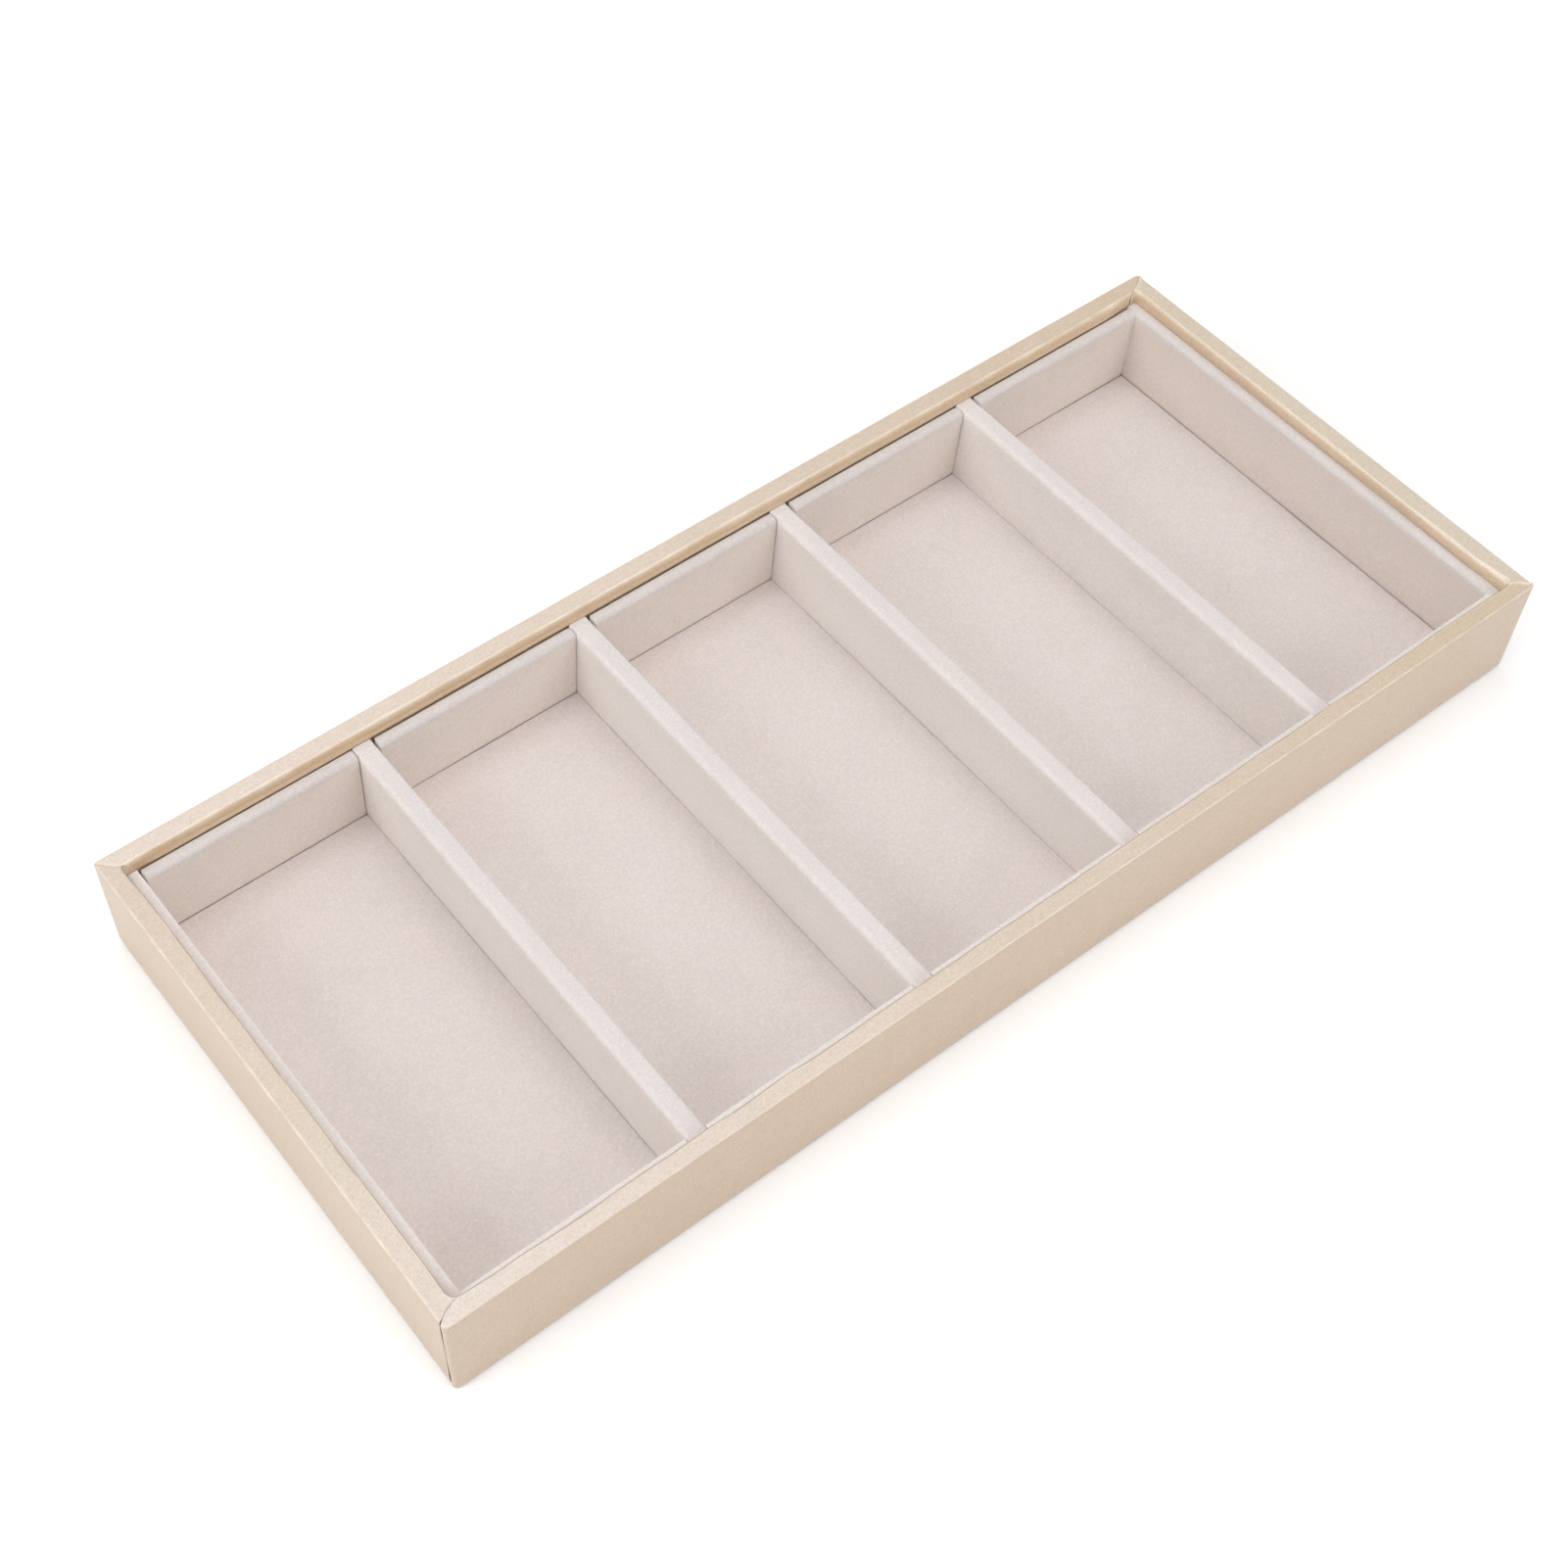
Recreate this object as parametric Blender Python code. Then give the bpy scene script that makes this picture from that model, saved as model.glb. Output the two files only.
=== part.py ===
"""Glasses tray: an open box of thin boards in leatherette, lined and divided in microsuede.

Metres, +Z up. X runs along the tray and Y across it, towards its back. The origin is the centre
of the underside. A sheet of leatherette is folded over each wall and mitred at the corners. The
boards of the lining are wrapped in microsuede, and the dividers lift out of the slots between
the front and back liners.
"""

import math

import bmesh
import bpy
from mathutils import Matrix, Vector

# Overall size, and the number of compartments between the dividers
TRAY_LENGTH = 0.400
TRAY_DEPTH = 0.175
TRAY_HEIGHT = 0.039
COMPARTMENTS = 5

# Boards of the carcass
WALL_BOARD = 0.004
FLOOR_BOARD = 0.0015

# Leatherette on the walls, and the width that is turned in under the floor board
LEATHERETTE = 0.0007
TURN_IN = 0.015

# Sheet on the underside, set in from the tray's edges
UNDERSIDE_SHEET = 0.0005
UNDERSIDE_INSET = 0.0025

# Microsuede, and the boards that it wraps
MICROSUEDE = 0.0005
LINER_CARD = 0.0022
FRONT_LINER_CARD = 0.0013
PANEL_CARD = 0.0008
DIVIDER_BOARD = 0.0048

# Depth of the liners' and the dividers' top edges below the rim
LINER_DROP = 0.0045
DIVIDER_DROP = 0.0045

# Clearances: behind each sheet and board, at the mitres, beside a divider, around a floor panel
GLUE_LINE = 0.0003
SEAM = 0.0003
SLOT_CLEARANCE = 0.0004
PANEL_CLEARANCE = 0.0005

# Facets around each fold, and the angle above which an edge is shaded sharp
FOLD_SEGMENTS = 3
SHARP_ANGLE = math.radians(40)

# Skins: a sheet with the glue line behind it
leather_skin = LEATHERETTE + GLUE_LINE
suede_skin = MICROSUEDE + GLUE_LINE

# Thicknesses of the finished pieces
wall = WALL_BOARD + 2 * leather_skin
liner = LINER_CARD + suede_skin
front_liner = FRONT_LINER_CARD + suede_skin
panel = PANEL_CARD + suede_skin
divider = DIVIDER_BOARD + 2 * suede_skin

# Heights above the table: turned-in leatherette, floor board, and all that stands on the floor
wrap_base = UNDERSIDE_SHEET + GLUE_LINE
floor_base = wrap_base + leather_skin
inner_base = floor_base + FLOOR_BOARD + GLUE_LINE
liner_height = TRAY_HEIGHT - LINER_DROP - inner_base
divider_height = TRAY_HEIGHT - DIVIDER_DROP - inner_base
wall_board_height = TRAY_HEIGHT - leather_skin - inner_base

# Plan: hollow between the walls, room between the liners, and the row of compartments
inner_depth = TRAY_DEPTH - 2 * wall
liner_back = wall + GLUE_LINE
liner_face = liner_back + liner
front_liner_face = liner_back + front_liner
clear_length = TRAY_LENGTH - 2 * liner_face
clear_depth = TRAY_DEPTH - liner_face - front_liner_face
clear_middle = (front_liner_face - liner_face) / 2
compartment = (clear_length - (COMPARTMENTS - 1) * divider) / COMPARTMENTS
pitch = compartment + divider

# Turn about Z of each wall, seen from the front wall, and the distance of its face from the centre
TURNS = {"front": 0, "right": math.pi / 2, "back": math.pi, "left": -math.pi / 2}
REACHES = {
    "front": TRAY_DEPTH / 2,
    "right": TRAY_LENGTH / 2,
    "back": TRAY_DEPTH / 2,
    "left": TRAY_LENGTH / 2,
}

# Base colour and roughness of each finish
FINISHES = {
    "leatherette": ((0.66, 0.53, 0.41), 0.42),
    "microsuede": ((0.71, 0.64, 0.61), 0.95),
    "fibreboard": ((0.42, 0.30, 0.19), 0.85),
    "card": ((0.36, 0.34, 0.31), 0.90),
    "underside": ((0.52, 0.47, 0.43), 0.80),
}

UP = Vector((0, 0, 1))
DOWN = Vector((0, 0, -1))
OUTWARD = Vector((0, -1, 0))


def clear_objects():
    """Remove what a new scene starts with."""
    for obj in list(bpy.data.objects):
        bpy.data.objects.remove(obj, do_unlink=True)


def box(size):
    """A bmesh box of this size, centred on the origin."""
    bm = bmesh.new()
    bmesh.ops.create_cube(bm, size=1)
    bmesh.ops.scale(bm, vec=size, verts=bm.verts)
    bm.normal_update()
    return bm


def fold_sheet(bm, thickness):
    """Round the folds of an open surface and give it the sheet's thickness, inwards."""
    folds = [edge for edge in bm.edges if edge.is_manifold and edge.calc_face_angle() > SHARP_ANGLE]
    bmesh.ops.bevel(
        bm,
        geom=folds,
        offset=thickness + GLUE_LINE,
        offset_type="OFFSET",
        segments=FOLD_SEGMENTS,
        profile=0.5,
        affect="EDGES",
    )
    bmesh.ops.solidify(bm, geom=bm.faces[:], thickness=thickness)


def add_object(name, bm, finish, location, turn=0, parent=None):
    """Make the named object from a bmesh, with its own material."""
    mesh = bpy.data.meshes.new(name)
    bm.to_mesh(mesh)
    bm.free()
    mesh.shade_smooth()
    mesh.set_sharp_from_angle(angle=SHARP_ANGLE)

    colour, roughness = FINISHES[finish]
    material = bpy.data.materials.new(f"{name}_{finish}")
    material.use_nodes = True
    shader = material.node_tree.nodes["Principled BSDF"]
    shader.inputs["Base Color"].default_value = (*colour, 1)
    shader.inputs["Roughness"].default_value = roughness
    shader.inputs["Metallic"].default_value = 0
    mesh.materials.append(material)

    obj = bpy.data.objects.new(name, mesh)
    obj.location = location
    obj.rotation_euler = (0, 0, turn)
    obj.parent = parent
    parts.objects.link(obj)
    return obj


def at_wall(side, along, inward, up):
    """A place measured from the middle of a wall's outer face, along it, into the tray and up."""
    turned = Matrix.Rotation(TURNS[side], 3, "Z")
    return turned @ Vector((along, inward - REACHES[side], up))


def cut_mitre(bm, corner, outward):
    """Cut a sheet square through at its mitre plane and close the cut."""
    everything = bm.verts[:] + bm.edges[:] + bm.faces[:]
    cut = bmesh.ops.bisect_plane(
        bm, geom=everything, plane_co=corner, plane_no=outward, clear_outer=True
    )
    edges = [item for item in cut["geom_cut"] if isinstance(item, bmesh.types.BMEdge)]
    bmesh.ops.contextual_create(bm, geom=edges)


def wall_wrap(side, length):
    """Leatherette over one wall: turned in below, up the outside, over the rim, down the inside."""
    section = [
        (TURN_IN, wrap_base),
        (0, wrap_base),
        (0, TRAY_HEIGHT),
        (wall, TRAY_HEIGHT),
        (wall, inner_base),
    ]
    bm = bmesh.new()
    verts = [bm.verts.new((-length / 2, inward, up)) for inward, up in section]
    edges = [bm.edges.new(pair) for pair in zip(verts, verts[1:])]
    swept = bmesh.ops.extrude_edge_only(bm, edges=edges)["geom"]
    ends = [item for item in swept if isinstance(item, bmesh.types.BMVert)]
    bmesh.ops.translate(bm, vec=(length, 0, 0), verts=ends)
    bm.normal_update()
    fold_sheet(bm, LEATHERETTE)
    for end in (1, -1):
        outward = Vector((end, 1, 0)).normalized()
        corner = Vector((end * length / 2, 0, 0)) - outward * SEAM / 2
        cut_mitre(bm, corner, outward)
    bmesh.ops.recalc_face_normals(bm, faces=bm.faces)
    add_object(f"{side}_wrap", bm, "leatherette", at_wall(side, 0, 0, 0), TURNS[side])


def wrapped_board(name, core, size, open_side, location, turn=0, parent=None):
    """A board in a microsuede cover of this outer size, which is open on one side only."""
    cover = box(size)
    open_faces = [face for face in cover.faces if face.normal.dot(open_side) > 0]
    bmesh.ops.delete(cover, geom=open_faces, context="FACES_ONLY")
    fold_sheet(cover, MICROSUEDE)
    add_object(f"{name}_cover", cover, "microsuede", location, turn, parent)

    core_size = [length - suede_skin * (2 - abs(way)) for length, way in zip(size, open_side)]
    shift = Matrix.Rotation(turn, 3, "Z") @ open_side * suede_skin / 2
    finish = "card" if core == "card" else "fibreboard"
    add_object(f"{name}_{core}", box(core_size), finish, Vector(location) + shift, turn, parent)


def wall_liner(name, side, thickness, length, along):
    """A wrapped card that stands against one wall, open at its glued back."""
    size = (length, thickness, liner_height)
    centre = at_wall(side, along, liner_back + thickness / 2, inner_base + liner_height / 2)
    wrapped_board(name, "card", size, OUTWARD, centre, TURNS[side])


def make_carcass():
    """The floor board and the four wall boards that stand on it."""
    board_length = TRAY_LENGTH - 2 * leather_skin
    board_depth = TRAY_DEPTH - 2 * leather_skin
    floor = box((board_length, board_depth, FLOOR_BOARD))
    add_object("floor_board", floor, "card", UP * (floor_base + FLOOR_BOARD / 2))

    end_length = board_depth - 2 * (WALL_BOARD + GLUE_LINE)
    lengths = {"front": board_length, "back": board_length, "left": end_length, "right": end_length}
    for side, length in lengths.items():
        size = (length, WALL_BOARD, wall_board_height)
        inward = leather_skin + WALL_BOARD / 2
        centre = at_wall(side, 0, inward, inner_base + wall_board_height / 2)
        add_object(f"{side}_wall_board", box(size), "fibreboard", centre, TURNS[side])


def make_leatherette():
    """The four mitred wall wraps and the sheet on the underside."""
    for side in TURNS:
        wall_wrap(side, TRAY_LENGTH if side in ("front", "back") else TRAY_DEPTH)
    size = (
        TRAY_LENGTH - 2 * UNDERSIDE_INSET,
        TRAY_DEPTH - 2 * UNDERSIDE_INSET,
        UNDERSIDE_SHEET,
    )
    add_object("underside_sheet", box(size), "underside", UP * UNDERSIDE_SHEET / 2)


def make_end_liners():
    """The left and right liners, which run the full depth between the walls."""
    length = inner_depth - 2 * SLOT_CLEARANCE
    for side in ("left", "right"):
        wall_liner(f"{side}_liner", side, liner, length, 0)


def make_compartments():
    """In each compartment, its back and front liners and its floor panel."""
    liner_length = compartment - 2 * SLOT_CLEARANCE
    panel_size = (compartment - 2 * PANEL_CLEARANCE, clear_depth - 2 * PANEL_CLEARANCE, panel)
    first = (compartment - clear_length) / 2
    for index in range(COMPARTMENTS):
        middle = first + index * pitch
        number = index + 1
        wall_liner(f"back_liner_{number}", "back", liner, liner_length, -middle)
        wall_liner(f"front_liner_{number}", "front", front_liner, liner_length, middle)
        centre = (middle, clear_middle, inner_base + panel / 2)
        wrapped_board(f"floor_panel_{number}", "card", panel_size, DOWN, centre)


def make_dividers():
    """The dividers, each on an empty that stands on the axis along which it lifts out."""
    size = (divider, inner_depth - 2 * SLOT_CLEARANCE, divider_height)
    first = compartment + (divider - clear_length) / 2
    for index in range(COMPARTMENTS - 1):
        number = index + 1
        lift = bpy.data.objects.new(f"divider_{number}_lift", None)
        lift.location = (first + index * pitch, 0, inner_base)
        parts.objects.link(lift)
        centre = UP * divider_height / 2
        wrapped_board(f"divider_{number}", "board", size, DOWN, centre, parent=lift)


clear_objects()
parts = bpy.data.collections.new("glasses_tray")
bpy.context.scene.collection.children.link(parts)
make_carcass()
make_leatherette()
make_end_liners()
make_compartments()
make_dividers()
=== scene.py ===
"""Looks of the glasses tray: pearl leatherette folded over its walls, microsuede over its lining.

Metres, in the frame's axes: X along the row of compartments, Y towards the tray's back, Z up.
The boards and cards inside stay as they are in the frame. The leatherette, the microsuede and the
sheet on the underside are modelled here, in the places that the frame gives.
"""

import math

import bmesh
import bpy
from mathutils import Matrix, Vector, noise


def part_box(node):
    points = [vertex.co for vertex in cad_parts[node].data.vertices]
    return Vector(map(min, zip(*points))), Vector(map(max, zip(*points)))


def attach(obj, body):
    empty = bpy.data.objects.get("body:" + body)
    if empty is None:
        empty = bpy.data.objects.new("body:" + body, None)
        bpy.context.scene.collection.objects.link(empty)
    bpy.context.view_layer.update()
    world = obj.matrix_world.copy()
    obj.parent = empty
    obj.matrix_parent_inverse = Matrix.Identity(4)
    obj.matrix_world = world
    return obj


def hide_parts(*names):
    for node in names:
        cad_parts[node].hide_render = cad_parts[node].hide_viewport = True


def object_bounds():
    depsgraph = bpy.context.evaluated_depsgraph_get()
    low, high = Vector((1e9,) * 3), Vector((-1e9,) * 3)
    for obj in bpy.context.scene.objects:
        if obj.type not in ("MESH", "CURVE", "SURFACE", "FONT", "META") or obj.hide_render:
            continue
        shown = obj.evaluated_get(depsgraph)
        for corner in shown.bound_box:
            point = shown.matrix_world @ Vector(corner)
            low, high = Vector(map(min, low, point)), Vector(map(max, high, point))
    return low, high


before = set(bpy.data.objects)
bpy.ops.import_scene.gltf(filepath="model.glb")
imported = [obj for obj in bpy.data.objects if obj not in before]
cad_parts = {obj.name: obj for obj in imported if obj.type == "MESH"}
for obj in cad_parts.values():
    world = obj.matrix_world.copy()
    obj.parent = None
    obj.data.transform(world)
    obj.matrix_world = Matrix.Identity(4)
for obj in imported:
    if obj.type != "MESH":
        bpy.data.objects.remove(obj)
cad_low, cad_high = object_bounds()

# Camera, fitted to the tray's edges in the photo: its frame, focal length and centre in pixels,
# sensor in millimetres, place, view and right-hand side, and the nearest and furthest that it sees
PHOTO_SIDE = 1601
FOCAL_PIXELS = 2436.7
CENTRE_PIXEL = (716.7, 848.6)
SENSOR_WIDTH = 36
CAMERA_PLACE = Vector((-0.2991, -0.3130, 0.5868))
CAMERA_LOOK = Vector((0.35816, 0.45576, -0.81486))
CAMERA_RIGHT = Vector((0.79266, -0.60962, 0.00743))
CAMERA_CLIP = (0.01, 20)

# Light: what the world gives to the object, and each lamp's place, size and power
WORLD_LIGHT = 0.24
LAMPS = {
    "over_lamp": ((0.0, 0.0, 1.5), 1.0, 6.5),
    "glint_lamp": ((0.0, 0.42, 1.4), 0.5, 0.8),
    "back_lamp": ((0.2, 1.3, 1.2), 1.0, 4.1),
    "back_right_lamp": ((0.6, 0.6, 1.2), 0.7, 0.75),
    "right_lamp": ((1.5, 0.0, 0.9), 1.2, 1.3),
    "front_right_lamp": ((0.5, -0.9, 1.1), 0.8, 1.4),
    "low_front_lamp": ((0.6, -1.2, 0.75), 0.8, 2.1),
    "front_lamp": ((0.0, -1.4, 0.9), 1.2, 6.5),
    "left_lamp": ((-1.5, -0.1, 0.9), 1.2, 7.5),
    "left_back_lamp": ((-1.4, 0.45, 0.95), 0.9, 4.9),
    "high_left_lamp": ((-0.9, -0.1, 1.3), 0.8, 2.2),
}
LAMP_AIM = Vector((0, 0, 0.02))

# Floor: half its width, how far below the tray it lies, and its grey; and the glow that makes it
# white to the camera, small near the tray and full far from it, growing between two distances
FLOOR_REACH = 4.0
FLOOR_DROP = 0.0001
FLOOR_GREY = 0.88
FLOOR_WHITE = 0.20
FAR_WHITE = 1.0
FAR_FROM = 0.45
FAR_TO = 1.6

# Leatherette: thickness, and fold radii at the foot and at the rim's outer edge, where the corners
# share one; how much painted highlight, with some wear, each wall's outer fold gets at its two ends,
# and how much painted shade lies on it
LEATHER = 0.00055
FOOT_FOLD = 0.0010
OUTER_FOLD = 0.0006
OUTER_FOLDS = {"front": 0.0006, "right": 0.0006, "back": 0.0006, "left": 0.0009}
OUTER_HIGHLIGHT_AND_WEAR = {"front": (0.6, 1.3), "right": (0, 0), "back": (0, 0), "left": (1.3, 1.2)}
OUTER_PAINTED_SHADE = {"front": 0.0, "right": 0.25, "back": 0.25, "left": 0.0}

# Roll over the rim's inner edge, wide and deep, on each wall and shared where two walls meet; how
# much and how often it varies; how much painted highlight, with some wear, and how much painted shade
# it gets, and how far inwards it must face to start and to end taking that painted shade; and how far
# the leatherette bulges at the roll and at the liners, at the two ends of each wall, and how far below
# the liners' tops that ends
ROLLS = {
    "front": (0.0016, 0.0033),
    "right": (0.0010, 0.0023),
    "back": (0.0011, 0.0026),
    "left": (0.0006, 0.0006),
}
CORNER_ROLLS = {
    "front_left": (0.0011, 0.0022),
    "front_right": (0.0019, 0.0034),
    "back_right": (0.0011, 0.0022),
    "back_left": (0.0011, 0.0022),
}
ROLL_BLEND = 0.014
ROLL_VARIES = 0.5
ROLL_WAVES = 45
ROLL_HIGHLIGHT_AND_WEAR = {"front": 1.0, "right": 0.6, "back": 1.3, "left": 1.0}
ROLL_PAINTED_SHADE = {"front": 0.5, "right": 0.0, "back": 0.0, "left": 0.5}
DARK_FACES = (0.4, 0.8)
BULGES = {
    "front": ((0, 0), (0, 0)),
    "right": ((0.0009, 0.00025), (0.0005, 0)),
    "back": ((0.0007, 0), (0.0010, 0.0006)),
    "left": ((0, 0), (0, 0)),
}
BULGE_FOOT = 0.0006

# Radii of the upright corners: outside, under the tray, and in the hollow at the rim and at its foot
OUTER_CORNER = 0.00115
LEAST_CORNER = 0.00015
HOLLOW_CORNERS = {"front_left": 0.0027, "front_right": 0.001, "back_right": 0.001, "back_left": 0.001}
LEAST_HOLLOW = 0.0003

# The hollow's corners tighten between these heights, measured from the liners' top edges
HOLLOW_RISE = 0.0010
HOLLOW_DROP = 0.0008

# Corner seams. How far the front or back sheet runs past the middle of the corner, outside and in
# the hollow, and how late it turns back; how wide the upright gap is and how dark the painted shadow
# in it; the gap over the rim and the share of that painted shadow left there; how much paler the
# raised edge is painted, as wear and painted highlight; and the sheet whose edge is raised, how high
# and how wide, and where along the wall's thickness that starts to fade
SEAMS = {
    "front_left": {
        "outside": 0.00185, "hollow": -0.0022, "late": 1.6, "wide": 3.0, "dark": 1.0, "gap": 0.00012,
        "over": 0.3, "wear_and_highlight": 0.8, "raised": "front", "lift": 0.00022, "rise": 0.0010, "fade": 0.5,
    },
    "front_right": {
        "outside": 0.0009, "hollow": -0.0022, "late": 6.0, "wide": 1.2, "dark": 1.0, "gap": 0.00022,
        "over": 0.6, "wear_and_highlight": 2.2, "raised": "front", "lift": 0.00035, "rise": 0.0014, "fade": 0.6,
    },
    "back_right": {
        "outside": 0.0005, "hollow": -0.0024, "late": 2.8, "wide": 0.8, "dark": 0.8, "gap": 0.00006,
        "over": 0.45, "wear_and_highlight": 1.0, "raised": "right", "lift": 0.00038, "rise": 0.0024, "fade": 1.5,
    },
    "back_left": {
        "outside": 0.0004, "hollow": -0.0015, "late": 8.0, "wide": 0.3, "dark": 0.15, "gap": 0.00003,
        "over": 0.45, "wear_and_highlight": 0.8, "raised": "back", "lift": 0.0001, "rise": 0.0016, "fade": 0.9,
    },
}

# The corners at the two ends of each wall's sheet, and the wall's turn from the front wall
CORNERS = {
    "front": ("front_left", "front_right"),
    "right": ("front_right", "back_right"),
    "back": ("back_right", "back_left"),
    "left": ("back_left", "front_left"),
}
TURNS = {"front": 0, "right": math.pi / 2, "back": math.pi, "left": -math.pi / 2}
LONG_SIDES = ("front", "back")

# Seam edges: gap of an upright seam at these shares of the height, and where the gap over the rim
# narrows; fraying, wandering and dip; the share of the wall's thickness over which a raised edge
# fades, and how far apart the seams' random draws lie
SEAM_WIDTHS = (
    (0, 0.00034), (0.1, 0.00040), (0.36, 0.00032), (0.44, 0.00024),
    (0.6, 0.00024), (0.72, 0.00032), (0.96, 0.00036), (1, 0.00020),
)
GAP_NARROWS = 2 * OUTER_FOLD
SEAM_FRAY = 0.4
FRAY_WAVES = 300
SEAM_WAVE = 0.0004
SEAM_WAVES = 75
SEAM_DIP = 0.00022
RAISED_FADE = 0.5
SEED_STEP = 7.3

# Rows of faces: along a wall, in the zone at each end of it, round a fold and round the roll, and on
# the flat parts
WALL_STEP = 0.0035
END_ZONE = 0.006
END_ROWS = (0.2, 0.4, 0.55, 0.68, 0.78, 0.86, 0.92, 0.955, 0.978, 0.991, 1)
FOLD_ROWS = 7
ROLL_ROWS = 12
FLAT_ROWS = {"under": 5, "outside": 12, "rim": 7, "strip": 6, "liner_tops": 6, "below": 10}

# How far up a surface must face to start and to end turning into the rim, and the painted light at
# the two ends of each wall's sheet: painted highlight and shade on the rim, and painted bounce light
# and shade on the inner side
RIM_FACES = (0.3, 0.65)
RIM_PAINTED_LIGHT = {
    "front": ((1.01, 1.125, 1.37), (0.92, 0.945, 0.93)),
    "right": ((0.99, 1.10, 1.23), (0.985, 1.075, 1.15)),
    "back": ((0.93, 0.96, 0.98), (1.045, 1.14, 1.35)),
    "left": ((0.92, 0.965, 1.05), (0.97, 1.08, 1.26)),
}
INNER_PAINTED_LIGHT = {
    "front": ((1.14, 1.13, 1.07),) * 2,
    "right": ((1.17, 1.19, 1.18), (1.12, 1.12, 1.09)),
    "back": ((1.15, 1.12, 1.00), (1.00, 0.93, 0.79)),
    "left": ((1.14, 1.13, 1.07),) * 2,
}

# Unevenness of the leatherette: broad, and along the rim's inner fold
LEATHER_WAVE = 0.00006
LEATHER_WAVES = 38
FOLD_WAVE = 0.00022
FOLD_WAVES = 120

# Microsuede: thickness; edge radii of the dividers, and how those tighten at their ends; of the
# liners and of the thin floor panels; how square and how fine the rounding is; rows of faces near an
# edge and elsewhere; rounding of the cut edge; and how fast the paler edge, rubbed wear and painted
# highlight, fades from an edge
SUEDE = 0.0005
DIVIDER_EDGES = (0.0021, 0.0009)
DIVIDER_END = 0.0007
DIVIDER_TIGHT = 0.0006
DIVIDER_TAPER = 0.004
LINER_EDGE = 0.0012
LINER_DROP = 0.0034
LINER_CRISP = 0.0005
LINER_END = 0.0004
PANEL_EDGE = 0.0004
EDGE_POWER = 2.2
EDGE_ROWS = 5
NEAR_STEPS = (0.0012, 0.0026)
CUT_ROUND = 0.00035
SUEDE_STEP = 0.0035
EDGE_PALE_FADE = 4

# The nap closes most of each joint: what a cover gains at a panel's sides and at a liner's ends, and
# what it loses at a back liner's left end and at the left and front walls
PANEL_GAIN = 0.00047
LINER_GAIN = 0.00035
LINER_LOSS = 0.0003
WALL_LOSS = 0.00025

# How far the liners' tops lean into the tray, at their wall and at the compartments; the first back
# liner leans less
FRONT_LEAN = (0, 0)
BACK_LEAN = (0.0010, 0.0018)
FIRST_LEAN = (0.0006, 0.0015)
LEFT_LEAN = (0, 0.0003)
RIGHT_LEAN = (-0.0002, 0.0009)

# Painted light and shade on each part of the microsuede: on top at the low and at the high end along
# the named axis, and on the sides below and on their upper part, which is so deep
PAINTED_SHADING = {
    "front_liner": {"axis": 1, "top": ((1.12, 1.18, 1.20),) * 2, "side": ((1, 0.985, 0.945),) * 2},
    "back_liner": {"axis": 1, "top": ((0.885, 0.91, 0.93),) * 2, "side": ((1.055, 1.06, 1.01),) * 2},
    "left_liner": {
        "axis": 0, "top": ((1.02, 1.04, 1.05), (1.14, 1.19, 1.22)), "side": ((1, 0.985, 0.945),) * 2,
    },
    "right_liner": {"axis": 0, "top": ((0.885, 0.91, 0.93),) * 2, "side": ((1, 0.995, 0.955),) * 2},
    "floor_panel": {
        "axis": 0, "top": ((1.07, 1.07, 1.07), (0.935, 0.945, 0.955)), "side": ((1, 1, 1),) * 2,
    },
    "divider": {
        "axis": 0, "top": ((0.965, 0.98, 1.01),) * 2, "side": ((1.04, 1.08, 1.08), (1.12, 1.15, 1.15)),
    },
}
PAINTED_SIDE_DEPTH = 0.006

# Painted light at these shares of a cover's depth, from the front to the back
EVEN_SHADING = ((0, 1.0), (1, 1.0))
FLOOR_SHADING = (
    (0, 1.06), (0.08, 1.045), (0.2, 1.01), (0.35, 0.985), (0.8, 0.985), (0.92, 1.01), (1, 1.02),
)

# Unevenness of the microsuede, broad and fine
SUEDE_WAVE = 0.00006
SUEDE_WAVES = 32
SUEDE_RIPPLE = 0.00002
SUEDE_RIPPLES = 210

# Looks of the leatherette. A noise has its waves in a metre, its detail and its roughness, and a
# pattern has the part of that noise's range that counts and what it is stretched to as well
LEATHER_COLOURS = {
    "plain": (0.60, 0.46, 0.33),
    "dark": (0.585, 0.445, 0.305, 1),
    "pale": (0.615, 0.470, 0.340, 1),
    "patches": (0.665, 0.475, 0.355, 1),
    "pale_specks": (0.74, 0.61, 0.48, 1),
    "dark_specks": (0.44, 0.32, 0.21, 1),
    # Paler colour along the folds and raised seam edges: wear and painted highlight
    "wear_and_highlight": (0.83, 0.722, 0.60, 1),
    # Near-black brown: the cut edge, and painted shade in the seams and along some folds
    "cut": (0.12, 0.08, 0.055, 1),
}
LEATHER_SPECKS = (1500, 4, 0.7)
LEATHER_PATTERNS = {
    "broad": ((22, 3), (0.3, 0.7)),
    "patches": ((150, 3), (0.4, 0.7, 0.0, 0.35)),
    "pale_specks": (0.5, 0.68, 0.0, 0.45),
    "dark_specks": (0.32, 0.5, 0.4, 0.0),
    "wear_and_highlight": ((130, 4), (0.35, 0.7, 0.2, 0.7)),
    "gloss": ((420, 4), (0.3, 0.7, 0.30, 0.40)),
}
PEBBLES = {"Scale": 1150, "Randomness": 1.0}
PEBBLE_SHAPE = (0.1, 0.75, 1.0, 0.0)
LEATHER_GRAIN = (3200, 3)
GRAIN_SHARE = 0.6
LEATHER_RELIEF = 0.00004
LEATHER_SHEEN = {"Specular IOR Level": 1.0, "Sheen Weight": 0.05, "Sheen Roughness": 0.35}

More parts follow.
